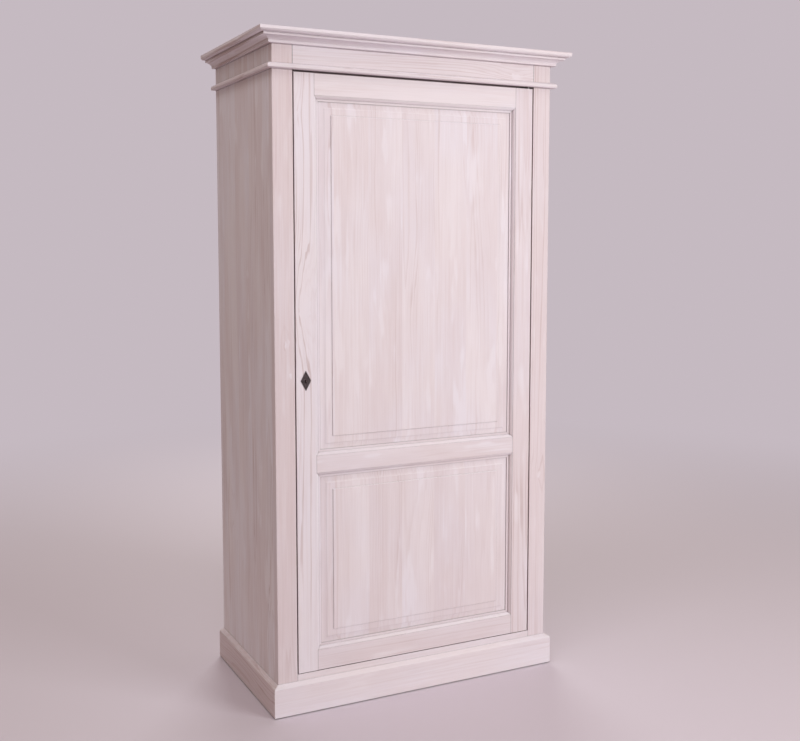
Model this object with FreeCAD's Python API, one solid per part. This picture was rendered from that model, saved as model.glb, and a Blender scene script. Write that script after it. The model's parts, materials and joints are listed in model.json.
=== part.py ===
import FreeCAD, Part
import os

# A tall single-door cupboard for bonnets and linen, in pine: a face-framed carcass with cornice,
# bead and plinth, and an inset door with two raised panels, hung on pivots and closed by a lock.
# Millimetres. +Z is up, the door faces -Y, and the origin is below the middle of the whole outline.

Vec = FreeCAD.Vector

# Overall sizes
HEIGHT = 2000.0
CARCASS_WIDTH = 940.0
CARCASS_DEPTH = 530.0

# Carcass boards
SIDE_THICK = 20.0
FRAME_THICK = 24.0
FRAME_STILE_WIDTH = 62.0
FRIEZE_REVEAL = 69.0
BOTTOM_REVEAL = 20.0
TOP_SETBACK = 12.0
TOP_THICK = 18.0
FLOOR_THICK = 18.0
HOUSING_DEPTH = 6.0
CORNER_ROUND = 2.5

# Back boards and the rail behind the floor
BACK_THICK = 12.0
BACK_BOARD_COUNT = 5
BACK_REBATE = 10.0
BACK_GROUND_GAP = 10.0
BACK_JOINT_GAP = 0.8
BACK_TONGUE_LENGTH = 6.0
BACK_TONGUE_THICK = 4.0
BACK_RAIL_THICK = 20.0

# Shelves and cleats
SHELF_COUNT = 3
SHELF_THICK = 18.0
SHELF_SETBACK = 40.0
SHELF_NOSE = 3.0
CLEAT_HEIGHT = 25.0
CLEAT_WIDTH = 20.0
CLEAT_END_GAP = 20.0

# Plinth
PLINTH_HEIGHT = 95.0
PLINTH_THICK = 16.0
PLINTH_BEVEL = 8.0
PLINTH_ROUND = 4.5

# Bead under the frieze
BEAD_HEIGHT = 15.0
BEAD_REACH = 17.0
BEAD_TOP_ROUND = 9.0
BEAD_NOSE_RISE = 5.0
BEAD_UNDER_ROUND = 3.0

# Cornice, from its soffit upwards and from the carcass outwards
CORNICE_FOOT_REACH = 13.0
CORNICE_FOOT_HEIGHT = 6.5
CORNICE_COVE_REACH = 21.0
CORNICE_COVE_HEIGHT = 11.0
CORNICE_FILLET_HEIGHT = 7.0
CORNICE_STEP_REACH = 5.0
CORNICE_OVOLO_REACH = 10.0
CORNICE_OVOLO_HEIGHT = 6.5
CORNICE_LIP_HEIGHT = 8.0
COVE_HOLLOW = 0.12
OVOLO_SWELL = 0.18

# Door
DOOR_THICK = 23.5
DOOR_SIDE_GAP = 4.0
DOOR_TOP_GAP = 6.0
DOOR_BOTTOM_GAP = 2.0
DOOR_STILE_FLAT = 62.0
TOP_RAIL_FLAT = 62.0
MIDDLE_RAIL_FLAT = 51.0
BOTTOM_RAIL_FLAT = 62.0
LOWER_OPENING_HEIGHT = 541.0
DOOR_EDGE_ROUND = 1.2

# Run moulding round the door panels
QUIRK_DROP = 1.3
STICKING_OVOLO_WIDTH = 8.5
STICKING_OVOLO_DROP = 8.5
STICKING_SWELL = 0.195
STICKING_FILLET = 7.0

# Raised panels in their grooves
GROOVE_SETBACK = 12.5
GROOVE_WIDTH = 6.0
GROOVE_DEPTH = 8.5
FIELD_SETBACK = 5.0
FIELD_RISE = 3.0
FIELD_SLOPE = 1.0
FIELD_FLAT = 19.0
PANEL_COVE_WIDTH = 20.0
PANEL_COVE_HOLLOW = 0.09

# Mortise-and-tenon joints
TENON_THICK = 7.0
TENON_SETBACK = 10.5
FRAME_TENON_LENGTH = 30.0
DOOR_TENON_LENGTH = 40.0
TENON_SHOULDER = 8.0
SIDE_TONGUE_THICK = 8.0
SIDE_TONGUE_LENGTH = 8.0

# Pivot hinges
PIVOT_INSET = 12.0
PIVOT_SETBACK = 8.0
PIVOT_PIN_DIAMETER = 6.0
PIVOT_PIN_END = 6.0
LEAF_LENGTH = 46.0
LEAF_WIDTH = 11.0
LEAF_THICK = 3.0
LEAF_SCREW_FIRST = 15.0
LEAF_SCREW_SPACING = 18.0
WASHER_DIAMETER = 12.0

# Door stop under the frieze
STOP_THICK = 14.0
STOP_HEIGHT = 40.0
STOP_DROP = 12.0
STOP_PIVOT_GAP = 30.0

# Lock let into the back of the door stile
LOCK_LEVEL = 1000.0
LOCK_BACKSET = 30.0
LOCK_WIDTH = 56.0
LOCK_HEIGHT = 70.0
LOCK_DEPTH = 11.5
LOCK_WALL = 1.5
LOCK_FLANGE = 9.0
LOCK_SCREW_INSET = 12.0
BOLT_RISE = 6.0
BOLT_HEIGHT = 15.0
BOLT_LENGTH = 44.0
BOLT_THICK = 5.0
BOLT_TRAVEL = 10.0
TALON_WIDTH = 7.0
TALON_DEPTH = 4.0
SPRING_THICK = 0.8
SPRING_WIDTH = 5.0
SPRING_LENGTH = 36.0
KEYHOLE_DIAMETER = 7.0
KEYHOLE_SLOT_WIDTH = 3.0
KEYHOLE_SLOT_DROP = 9.0
ESCUTCHEON_WIDTH = 31.5
ESCUTCHEON_HEIGHT = 58.0
ESCUTCHEON_THICK = 1.5
ESCUTCHEON_PIN_DIAMETER = 2.0
ESCUTCHEON_PIN_LENGTH = 9.0
ESCUTCHEON_PIN_INSET = 9.0
STRIKE_THICK = 1.5
STRIKE_MARGIN = 3.0
STRIKE_LUG = 12.0

# Screws and glides
SMALL_SCREW_LENGTH = 12.0
LONG_SCREW_LENGTH = 32.0
SCREW_HEAD_DIAMETER = 6.0
SCREW_SHANK_DIAMETER = 3.0
SCREW_SLOT_WIDTH = 0.8
SCREW_SLOT_DEPTH = 0.8
CLEAT_SCREW_COUNT = 3
CLEAT_SCREW_INSET = 50.0
BACK_SCREW_INSET = 35.0
GLIDE_HEIGHT = 3.0
GLIDE_DIAMETER = 18.0
GLIDE_NAIL_DIAMETER = 3.0
GLIDE_NAIL_LENGTH = 16.0
GLIDE_FRONT_INSET = 16.0
GLIDE_BACK_INSET = 40.0

# Clearances
JOINT_FIT = 0.1
PANEL_PLAY = 0.8
SHELF_PLAY = 0.8
RUNNING_FIT = 0.05
RIVET_FIT = 0.02
SCREW_FIT = 0.05
BOLT_FIT = 0.4
CUT_MARGIN = 5.0

# Places worked out from the sizes above
CORNICE_HEIGHT = (CORNICE_FOOT_HEIGHT + CORNICE_COVE_HEIGHT + CORNICE_FILLET_HEIGHT
                  + CORNICE_OVOLO_HEIGHT + CORNICE_LIP_HEIGHT)
CORNICE_REACH = CORNICE_FOOT_REACH + CORNICE_COVE_REACH + CORNICE_STEP_REACH + CORNICE_OVOLO_REACH
HALF_WIDTH = CARCASS_WIDTH / 2
FRONT = (CORNICE_REACH - CARCASS_DEPTH) / 2
BACK = FRONT + CARCASS_DEPTH
FRAME_BACK = FRONT + FRAME_THICK
BACK_FACE = BACK - BACK_THICK
INNER_HALF = HALF_WIDTH - SIDE_THICK
SOFFIT = HEIGHT - CORNICE_HEIGHT
CARCASS_TOP = HEIGHT - TOP_SETBACK
PLINTH_TOP = GLIDE_HEIGHT + PLINTH_HEIGHT
OPENING_HALF = HALF_WIDTH - FRAME_STILE_WIDTH
OPENING_BOTTOM = PLINTH_TOP + BOTTOM_REVEAL
OPENING_TOP = SOFFIT - FRIEZE_REVEAL
FLOOR_BOTTOM = OPENING_BOTTOM - FLOOR_THICK
DOOR_HALF = OPENING_HALF - DOOR_SIDE_GAP
DOOR_BOTTOM = OPENING_BOTTOM + DOOR_BOTTOM_GAP
DOOR_TOP = OPENING_TOP - DOOR_TOP_GAP
FLAT_HALF = DOOR_HALF - DOOR_STILE_FLAT
LOWER_OPENING = (DOOR_BOTTOM + BOTTOM_RAIL_FLAT, DOOR_BOTTOM + BOTTOM_RAIL_FLAT + LOWER_OPENING_HEIGHT)
UPPER_OPENING = (LOWER_OPENING[1] + MIDDLE_RAIL_FLAT, DOOR_TOP - TOP_RAIL_FLAT)
STICKING_WIDTH = STICKING_OVOLO_WIDTH + STICKING_FILLET
RELIEF_WIDTH = GROOVE_DEPTH - PANEL_PLAY + PANEL_COVE_WIDTH + FIELD_FLAT + FIELD_SLOPE
PIVOT_X = DOOR_HALF - PIVOT_INSET
PIVOT_Y = FRONT + PIVOT_SETBACK
KEYHOLE_X = LOCK_BACKSET - DOOR_HALF
LOCK_FRONT = DOOR_THICK - LOCK_DEPTH
BOLT_LOW = LOCK_LEVEL + BOLT_RISE
BOLT_HIGH = BOLT_LOW + BOLT_HEIGHT
SHELF_CLEAR = (SOFFIT - OPENING_BOTTOM - SHELF_COUNT * SHELF_THICK) / (SHELF_COUNT + 1)

LEFT = -1
RIGHT = 1


# Basic shapes

def box(x_ends, y_ends, z_ends):
    """A block between two values on each axis, given in either order."""
    low = Vec(min(x_ends), min(y_ends), min(z_ends))
    high = Vec(max(x_ends), max(y_ends), max(z_ends))
    size = high - low
    return Part.makeBox(size.x, size.y, size.z, low)


def depth(setback):
    """The y value at a distance behind the front plane."""
    return FRONT + setback


def profile(place, *steps):
    """A closed face through the steps: a step is a point, or a (middle, end) pair for an arc."""
    edges = []
    here = steps[0]
    for step in steps[1:] + steps[:1]:
        if isinstance(step[0], tuple):
            middle, end = step
            edges.append(Part.Arc(place(*here), place(*middle), place(*end)).toShape())
        else:
            end = step
            edges.append(Part.makeLine(place(*here), place(*end)))
        here = end
    return Part.Face(Part.Wire(edges))


def bowed(start, end, bow):
    """An arc step from start to end, bowed to the right of travel by a share of the chord."""
    across = end[0] - start[0]
    along = end[1] - start[1]
    middle = ((start[0] + end[0]) / 2 + along * bow, (start[1] + end[1]) / 2 - across * bow)
    return (middle, end)


def rounded(shape, radius, chosen):
    """The shape with the chosen edges rounded."""
    edges = [edge for edge in shape.Edges if chosen(edge)]
    return shape.makeFillet(radius, edges)


def lies_on(edge, x=None, y=None, z=None):
    """Whether both ends of an edge lie on the given planes."""
    for vertex in edge.Vertexes:
        for value, wanted in ((vertex.X, x), (vertex.Y, y), (vertex.Z, z)):
            if wanted is not None and abs(value - wanted) > 1e-6:
                return False
    return True


def upright(radius, x, y, z_ends):
    """A round bar standing between two heights."""
    low = min(z_ends)
    return Part.makeCylinder(radius, max(z_ends) - low, Vec(x, y, low))


def cut_all(shape, tools):
    """The shape with every tool taken out of it."""
    for tool in tools:
        shape = shape.cut(tool)
    return shape


# Screws

def screw(head, way, length, fit=0.0):
    """A countersunk slotted screw driven along way from its head; a fit turns it into its hole."""
    head_radius = SCREW_HEAD_DIAMETER / 2 + fit
    shank_radius = SCREW_SHANK_DIAMETER / 2 + fit
    neck = head_radius - shank_radius
    end = length + fit
    outline = profile(lambda r, z: Vec(r, 0, -z), (0, 0), (head_radius, 0), (shank_radius, neck),
                      (shank_radius, end - SCREW_SHANK_DIAMETER), (0, end))
    solid = outline.revolve(Vec(0, 0, 0), Vec(0, 0, 1), 360)
    if fit == 0.0:
        slot_half = SCREW_SLOT_WIDTH / 2
        slot = box((-head_radius, head_radius), (-slot_half, slot_half), (-SCREW_SLOT_DEPTH, CUT_MARGIN))
        solid = solid.cut(slot)
    solid.Placement = FreeCAD.Placement(head, FreeCAD.Rotation(Vec(0, 0, -1), way))
    return solid


def screws(places, length, fit=0.0):
    """One screw for every (head, way) pair."""
    return [screw(head, way, length, fit) for head, way in places]


def leaf_screw_places(level, way):
    """Heads of a hinge leaf's screws on its exposed face at a level."""
    first = PIVOT_X - LEAF_SCREW_FIRST
    return [(Vec(x, PIVOT_Y, level), Vec(0, 0, way)) for x in (first, first - LEAF_SCREW_SPACING)]


def strike_screw_places():
    """Heads of the strike's screws, above and below its slot."""
    y = depth(sum(bolt_room()) / 2)
    reach = STRIKE_MARGIN + STRIKE_LUG / 2
    return [(Vec(-OPENING_HALF, y, z), Vec(-1, 0, 0)) for z in (BOLT_LOW - reach, BOLT_HIGH + reach)]


def lock_screw_places():
    """Heads of the lock cover's screws in its two flanges."""
    reach = LOCK_HEIGHT / 2 + LOCK_FLANGE / 2
    columns = (LOCK_SCREW_INSET - DOOR_HALF, LOCK_WIDTH - LOCK_SCREW_INSET - DOOR_HALF)
    rows = (LOCK_LEVEL - reach, LOCK_LEVEL + reach)
    return [(Vec(x, depth(DOOR_THICK), z), Vec(0, -1, 0)) for x in columns for z in rows]


def cleat_screw_places(side, number):
    """Heads of one cleat's screws on its inner face."""
    x = side * (INNER_HALF - CLEAT_WIDTH)
    z = shelf_bottom(number) - CLEAT_HEIGHT / 2
    first = cleat_front() + CLEAT_SCREW_INSET
    last = cleat_back() - CLEAT_SCREW_INSET
    step = (last - first) / (CLEAT_SCREW_COUNT - 1)
    return [(Vec(x, first + index * step, z), Vec(side, 0, 0)) for index in range(CLEAT_SCREW_COUNT)]


def back_screw_places(number):
    """Heads of one back board's screws, into the top panel and the back rail."""
    low, high = back_board_ends(number)
    levels = (SOFFIT + TOP_THICK / 2, (GLIDE_HEIGHT + FLOOR_BOTTOM) / 2)
    columns = (low + BACK_SCREW_INSET, high - BACK_SCREW_INSET)
    return [(Vec(x, BACK, z), Vec(0, -1, 0)) for x in columns for z in levels]


# Face frame and sides

def side_tongue(side, fit=0.0):
    """The tongue on a side board's front edge, or its groove in the stile."""
    middle = side * (HALF_WIDTH - SIDE_THICK / 2)
    half = SIDE_TONGUE_THICK / 2 + fit
    return box((middle - half, middle + half), (FRAME_BACK - SIDE_TONGUE_LENGTH - fit, FRAME_BACK),
               (GLIDE_HEIGHT, CARCASS_TOP))


def frame_tenon(side, low, high, fit=0.0):
    """A frame rail's tenon on one side, or its mortise in the stile."""
    start = depth(TENON_SETBACK)
    return box((side * OPENING_HALF, side * (OPENING_HALF + FRAME_TENON_LENGTH + fit)),
               (start - fit, start + TENON_THICK + fit),
               (low + TENON_SHOULDER - fit, high - TENON_SHOULDER + fit))


def frieze_ends():
    return (OPENING_TOP, CARCASS_TOP)


def bottom_rail_ends():
    return (GLIDE_HEIGHT, OPENING_BOTTOM)


def front_stile(side):
    """A face-frame stile with mortises, the side's groove and, on the left, the lock's strike."""
    solid = box((side * OPENING_HALF, side * HALF_WIDTH), (FRONT, FRAME_BACK), (GLIDE_HEIGHT, CARCASS_TOP))
    solid = rounded(solid, CORNER_ROUND, lambda edge: lies_on(edge, x=side * HALF_WIDTH, y=FRONT))
    tools = [frame_tenon(side, *frieze_ends(), fit=JOINT_FIT)]
    tools.append(frame_tenon(side, *bottom_rail_ends(), fit=JOINT_FIT))
    tools.append(side_tongue(side, JOINT_FIT))
    tools.append(glide_nail(*front_glide(side), fit=SCREW_FIT))
    if side == LEFT:
        tools.append(strike_block(JOINT_FIT))
        tools.append(bolt_mortise())
        tools.extend(screws(strike_screw_places(), SMALL_SCREW_LENGTH, SCREW_FIT))
    return cut_all(solid, tools)


def frame_rail(low, high):
    """A rail between the front stiles, with a tenon at each end."""
    solid = box((-OPENING_HALF, OPENING_HALF), (FRONT, FRAME_BACK), (low, high))
    for side in (LEFT, RIGHT):
        solid = solid.fuse(frame_tenon(side, low, high))
    return solid.removeSplitter()


def frieze_rail():
    """The rail over the door, with the upper hinge leaf let into its lower edge."""
    tools = [leaf(OPENING_TOP, OPENING_TOP + LEAF_THICK, JOINT_FIT)]
    tools.extend(screws(leaf_screw_places(OPENING_TOP, 1), SMALL_SCREW_LENGTH, SCREW_FIT))
    return cut_all(frame_rail(*frieze_ends()), tools)


def bottom_rail():
    """The rail below the door, with the lower hinge leaf let into its upper edge."""
    tools = [leaf(OPENING_BOTTOM - LEAF_THICK, OPENING_BOTTOM, JOINT_FIT)]
    tools.extend(screws(leaf_screw_places(OPENING_BOTTOM, -1), SMALL_SCREW_LENGTH, SCREW_FIT))
    return cut_all(frame_rail(*bottom_rail_ends()), tools)


def side_panel(side):
    """A side board, tongued at the front, rebated at the back and housed for the top and floor."""
    solid = box((side * INNER_HALF, side * HALF_WIDTH), (FRAME_BACK, BACK), (GLIDE_HEIGHT, CARCASS_TOP))
    solid = solid.fuse(side_tongue(side)).removeSplitter()
    tools = [box((side * INNER_HALF, side * (INNER_HALF + BACK_REBATE)), (BACK_FACE, BACK),
                 (GLIDE_HEIGHT, CARCASS_TOP))]
    tools.append(housed_board(FLOOR_BOTTOM, FLOOR_THICK, JOINT_FIT))
    tools.append(housed_board(SOFFIT, TOP_THICK, JOINT_FIT))
    tools.append(glide_nail(*back_glide(side), fit=SCREW_FIT))
    for number in range(SHELF_COUNT):
        tools.extend(screws(cleat_screw_places(side, number), LONG_SCREW_LENGTH, SCREW_FIT))
    return cut_all(solid, tools)


# Inside boards

def housed_board(bottom, thick, fit=0.0):
    """A board across the carcass with its ends in housings, or the room it takes there."""
    reach = INNER_HALF + HOUSING_DEPTH + fit
    return box((-reach, reach), (FRAME_BACK, BACK_FACE), (bottom - fit, bottom + thick + fit))


def top_panel():
    """The dust board behind the cornice."""
    tools = []
    for number in range(BACK_BOARD_COUNT):
        tools.extend(screws(back_screw_places(number), LONG_SCREW_LENGTH, SCREW_FIT))
    return cut_all(housed_board(SOFFIT, TOP_THICK), tools)


def floor_panel():
    return housed_board(FLOOR_BOTTOM, FLOOR_THICK)


def back_rail():
    """The rail under the floor's back edge."""
    solid = box((-INNER_HALF, INNER_HALF), (BACK_FACE - BACK_RAIL_THICK, BACK_FACE),
                (GLIDE_HEIGHT, FLOOR_BOTTOM))
    tools = []
    for number in range(BACK_BOARD_COUNT):
        tools.extend(screws(back_screw_places(number), LONG_SCREW_LENGTH, SCREW_FIT))
    return cut_all(solid, tools)


def back_board_ends(number):
    """Left and right face of a back board, without its tongue."""
    total = 2 * (INNER_HALF + BACK_REBATE - JOINT_FIT)
    width = (total - (BACK_BOARD_COUNT - 1) * BACK_JOINT_GAP) / BACK_BOARD_COUNT
    low = -total / 2 + number * (width + BACK_JOINT_GAP)
    return (low, low + width)


def back_tongue(number, fit=0.0):
    """The tongue on a board's left edge, or its groove in the board before it."""
    low = back_board_ends(number)[0]
    middle = BACK - BACK_THICK / 2
    half = BACK_TONGUE_THICK / 2 + fit
    return box((low - BACK_TONGUE_LENGTH - fit, low), (middle - half, middle + half),
               (GLIDE_HEIGHT + BACK_GROUND_GAP, CARCASS_TOP))


def back_board(number):
    """One upright back board."""
    solid = box(back_board_ends(number), (BACK_FACE, BACK), (GLIDE_HEIGHT + BACK_GROUND_GAP, CARCASS_TOP))
    if number > 0:
        solid = solid.fuse(back_tongue(number)).removeSplitter()
    tools = screws(back_screw_places(number), LONG_SCREW_LENGTH, SCREW_FIT)
    if number < BACK_BOARD_COUNT - 1:
        tools.append(back_tongue(number + 1, JOINT_FIT))
    return cut_all(solid, tools)


def shelf_bottom(number):
    """Height of a shelf's underside; shelves share the inside evenly."""
    return OPENING_BOTTOM + (number + 1) * SHELF_CLEAR + number * SHELF_THICK


def shelf(number):
    """A loose shelf on two cleats, with a softened front edge."""
    bottom = shelf_bottom(number)
    front = depth(SHELF_SETBACK)
    solid = box((SHELF_PLAY - INNER_HALF, INNER_HALF - SHELF_PLAY), (front, BACK_FACE - SHELF_PLAY),
                (bottom, bottom + SHELF_THICK))
    nose = lambda edge: lies_on(edge, y=front, z=bottom) or lies_on(edge, y=front, z=bottom + SHELF_THICK)
    return rounded(solid, min(SHELF_NOSE, SHELF_THICK / 3), nose)


def cleat_front():
    return depth(SHELF_SETBACK) + CLEAT_END_GAP


def cleat_back():
    return BACK_FACE - CLEAT_END_GAP


def shelf_cleat(side, number):
    """A batten screwed to a side under a shelf's end."""
    top = shelf_bottom(number)
    solid = box((side * (INNER_HALF - CLEAT_WIDTH), side * INNER_HALF), (cleat_front(), cleat_back()),
                (top - CLEAT_HEIGHT, top))
    return cut_all(solid, screws(cleat_screw_places(side, number), LONG_SCREW_LENGTH, SCREW_FIT))


def door_stop():
    """The strip behind the frieze rail that the door closes against, clear of the pivot side."""
    return box((-OPENING_HALF, PIVOT_X - STOP_PIVOT_GAP), (FRAME_BACK, FRAME_BACK + STOP_THICK),
               (OPENING_TOP - STOP_DROP, OPENING_TOP - STOP_DROP + STOP_HEIGHT))


# Mouldings round the carcass

def front_run(section, reach):
    """A moulding along the front, mitred at both ends."""
    wide = HALF_WIDTH + reach
    bar = section(lambda out, z: Vec(-wide, FRONT - out, z)).extrude(Vec(2 * wide, 0, 0))
    plan = [(-HALF_WIDTH, FRONT), (HALF_WIDTH, FRONT), (wide, FRONT - reach), (-wide, FRONT - reach)]
    return bar.common(standing_prism(plan))


def side_run(section, reach, side):
    """A moulding along one side, mitred at the front and square at the back."""
    bar = section(lambda out, z: Vec(side * (HALF_WIDTH + out), FRONT - reach, z))
    bar = bar.extrude(Vec(0, CARCASS_DEPTH + reach, 0))
    inner = side * HALF_WIDTH
    outer = side * (HALF_WIDTH + reach)
    return bar.common(standing_prism([(inner, FRONT), (outer, FRONT - reach), (outer, BACK), (inner, BACK)]))


def standing_prism(plan):
    """A prism over the whole height on a plan outline."""
    return profile(lambda x, y: Vec(x, y, 0), *plan).extrude(Vec(0, 0, HEIGHT))


def plinth_section(place):
    """A skirting board with a bevelled top and a rounded shoulder."""
    shoulder = PLINTH_TOP - PLINTH_BEVEL
    slope = PLINTH_BEVEL / PLINTH_THICK
    start = (PLINTH_THICK, shoulder - PLINTH_ROUND)
    end = (PLINTH_THICK - PLINTH_ROUND, shoulder + slope * PLINTH_ROUND)
    return profile(place, (0, GLIDE_HEIGHT), (PLINTH_THICK, GLIDE_HEIGHT), start, bowed(start, end, 0.15),
                   (0, PLINTH_TOP))


def bead_section(place):
    """A nosed bead: flat above, long round on top, short round below."""
    top = OPENING_TOP + BEAD_HEIGHT
    upper = (BEAD_REACH - BEAD_TOP_ROUND, top)
    nose = (BEAD_REACH, OPENING_TOP + BEAD_NOSE_RISE)
    lower = (BEAD_REACH - BEAD_UNDER_ROUND, OPENING_TOP)
    return profile(place, (0, OPENING_TOP), lower, bowed(lower, nose, OVOLO_SWELL),
                   bowed(nose, upper, OVOLO_SWELL), (0, top))


def cornice_section(place):
    """Foot, hollow, fillet, step, ovolo and lip, from the soffit up."""
    foot_top = SOFFIT + CORNICE_FOOT_HEIGHT
    cove_top = foot_top + CORNICE_COVE_HEIGHT
    fillet_top = cove_top + CORNICE_FILLET_HEIGHT
    cove_out = CORNICE_FOOT_REACH + CORNICE_COVE_REACH
    step_out = cove_out + CORNICE_STEP_REACH
    cove = bowed((CORNICE_FOOT_REACH, foot_top), (cove_out, cove_top), -COVE_HOLLOW)
    ovolo_end = (CORNICE_REACH, fillet_top + CORNICE_OVOLO_HEIGHT)
    ovolo = bowed((step_out, fillet_top), ovolo_end, OVOLO_SWELL)
    return profile(place, (0, SOFFIT), (CORNICE_FOOT_REACH, SOFFIT), (CORNICE_FOOT_REACH, foot_top), cove,
                   (cove_out, fillet_top), (step_out, fillet_top), ovolo, (CORNICE_REACH, HEIGHT),
                   (0, HEIGHT))


# Door frame and panels

def mitred_bar(x_ends, z_ends, edge, section, width):
    """A mitred bar along one edge of an upright rectangle; its section is (inwards, setback)."""
    (x0, x1), (z0, z1) = x_ends, z_ends
    if edge in ("left", "right"):
        start, inward = (x0, 1) if edge == "left" else (x1, -1)
        bar = section(lambda v, d: Vec(start + inward * v, depth(d), z0)).extrude(Vec(0, 0, z1 - z0))
        inner = start + inward * width
        outline = [(start, z0), (start, z1), (inner, z1 - width), (inner, z0 + width)]
    else:
        start, inward = (z0, 1) if edge == "bottom" else (z1, -1)
        bar = section(lambda v, d: Vec(x0, depth(d), start + inward * v)).extrude(Vec(x1 - x0, 0, 0))
        inner = start + inward * width
        outline = [(x0, start), (x1, start), (x1 - width, inner), (x0 + width, inner)]
    wedge = profile(lambda x, z: Vec(x, depth(-CUT_MARGIN), z), *outline)
    return bar.common(wedge.extrude(Vec(0, DOOR_THICK + 2 * CUT_MARGIN, 0)))


def sticking_section(place):
    """The run moulding on a door member's inner edge: quirk, ovolo, fillet and panel groove."""
    low = QUIRK_DROP + STICKING_OVOLO_DROP
    ovolo = bowed((0, QUIRK_DROP), (STICKING_OVOLO_WIDTH, low), STICKING_SWELL)
    groove_end = GROOVE_SETBACK + GROOVE_WIDTH
    bottom = STICKING_WIDTH - GROOVE_DEPTH
    return profile(place, (0, QUIRK_DROP), ovolo, (STICKING_WIDTH, low),
                   (STICKING_WIDTH, GROOVE_SETBACK), (bottom, GROOVE_SETBACK), (bottom, groove_end),
                   (STICKING_WIDTH, groove_end), (STICKING_WIDTH, DOOR_THICK), (0, DOOR_THICK))


def sticking(opening, edge):
    return mitred_bar((-FLAT_HALF, FLAT_HALF), opening, edge, sticking_section, STICKING_WIDTH)


def door_tenon(side, low, high, fit=0.0):
    """A door rail's tenon on one side, or its mortise in the door stile."""
    start = depth(TENON_SETBACK)
    return box((side * FLAT_HALF, side * (FLAT_HALF + DOOR_TENON_LENGTH + fit)),
               (start - fit, start + TENON_THICK + fit),
               (low + TENON_SHOULDER - fit, high - TENON_SHOULDER + fit))


def rail_flats():
    """Lower and upper edge of the flat of each door rail, from the bottom up."""
    return [(DOOR_BOTTOM, LOWER_OPENING[0]), (LOWER_OPENING[1], UPPER_OPENING[0]),
            (UPPER_OPENING[1], DOOR_TOP)]


def door_stile(side):
    """A door stile with its mouldings and mortises, before its hardware is let in."""
    solid = box((side * FLAT_HALF, side * DOOR_HALF), (FRONT, depth(DOOR_THICK)), (DOOR_BOTTOM, DOOR_TOP))
    solid = rounded(solid, DOOR_EDGE_ROUND, lambda edge: lies_on(edge, x=side * DOOR_HALF, y=FRONT))
    edge = "left" if side == LEFT else "right"
    for opening in (LOWER_OPENING, UPPER_OPENING):
        solid = solid.fuse(sticking(opening, edge))
    mortises = [door_tenon(side, low, high, JOINT_FIT) for low, high in rail_flats()]
    return cut_all(solid.removeSplitter(), mortises)


def door_stile_hinge():
    """The hinge stile, with a leaf let into each end and room for the pins."""
    tools = [leaf(DOOR_TOP - LEAF_THICK, DOOR_TOP, JOINT_FIT)]
    tools.append(leaf(DOOR_BOTTOM, DOOR_BOTTOM + LEAF_THICK, JOINT_FIT))
    pin_room = PIVOT_PIN_DIAMETER / 2 + BOLT_FIT
    deep = LEAF_THICK + PIVOT_PIN_END + BOLT_FIT
    tools.append(upright(pin_room, PIVOT_X, PIVOT_Y, (DOOR_TOP - deep, DOOR_TOP)))
    tools.append(upright(pin_room, PIVOT_X, PIVOT_Y, (DOOR_BOTTOM, DOOR_BOTTOM + deep)))
    tools.extend(screws(leaf_screw_places(DOOR_TOP, -1), SMALL_SCREW_LENGTH, SCREW_FIT))
    tools.extend(screws(leaf_screw_places(DOOR_BOTTOM, 1), SMALL_SCREW_LENGTH, SCREW_FIT))
    return cut_all(door_stile(RIGHT), tools)


def door_stile_lock():
    """The lock stile, with a pocket for the lock, a keyhole and holes for pins and screws."""
    tools = [lock_block(JOINT_FIT), lock_cover_block(JOINT_FIT), keyhole((0, LOCK_FRONT))]
    tools.extend(escutcheon_pin(end, SCREW_FIT) for end in (-1, 1))
    tools.extend(screws(lock_screw_places(), SMALL_SCREW_LENGTH, SCREW_FIT))
    return cut_all(door_stile(LEFT), tools)


def door_rail(number, edges):
    """A door rail with the mouldings on its inner edges and a tenon at each end."""
    low, high = rail_flats()[number]
    solid = box((-FLAT_HALF, FLAT_HALF), (FRONT, depth(DOOR_THICK)), (low, high))
    for opening, edge in edges:
        solid = solid.fuse(sticking(opening, edge))
    for side in (LEFT, RIGHT):
        solid = solid.fuse(door_tenon(side, low, high))
    return solid.removeSplitter()


def panel_relief(place):
    """What is cut away round a raised panel: tongue, hollow, flat and slope up to the field."""
    tongue_face = GROOVE_SETBACK + JOINT_FIT
    hollow_start = GROOVE_DEPTH - PANEL_PLAY
    hollow_end = hollow_start + PANEL_COVE_WIDTH
    flat_level = FIELD_SETBACK + FIELD_RISE
    flat_end = hollow_end + FIELD_FLAT
    hollow = bowed((hollow_start, tongue_face), (hollow_end, flat_level), -PANEL_COVE_HOLLOW)
    return profile(place, (0, 0), (0, tongue_face), (hollow_start, tongue_face), hollow,
                   (flat_end, flat_level), (RELIEF_WIDTH, FIELD_SETBACK), (RELIEF_WIDTH, 0))


def door_panel(opening):
    """A raised panel floating in the frame's grooves."""
    inset = STICKING_WIDTH - GROOVE_DEPTH + PANEL_PLAY
    x_ends = (inset - FLAT_HALF, FLAT_HALF - inset)
    z_ends = (opening[0] + inset, opening[1] - inset)
    back = GROOVE_SETBACK + GROOVE_WIDTH - JOINT_FIT
    solid = box(x_ends, (depth(FIELD_SETBACK), depth(back)), z_ends)
    edges = ("left", "right", "bottom", "top")
    return cut_all(solid, [mitred_bar(x_ends, z_ends, edge, panel_relief, RELIEF_WIDTH) for edge in edges])


# Pivot hinges

def leaf(low, high, fit=0.0):
    """A round-ended hinge leaf on the pivot axis, or its recess."""
    half = LEAF_WIDTH / 2 + fit
    end = PIVOT_X + LEAF_WIDTH / 2 - LEAF_LENGTH - fit
    solid = box((end, PIVOT_X), (PIVOT_Y - half, PIVOT_Y + half), (low, high))
    return solid.fuse(upright(half, PIVOT_X, PIVOT_Y, (low, high))).removeSplitter()


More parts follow.
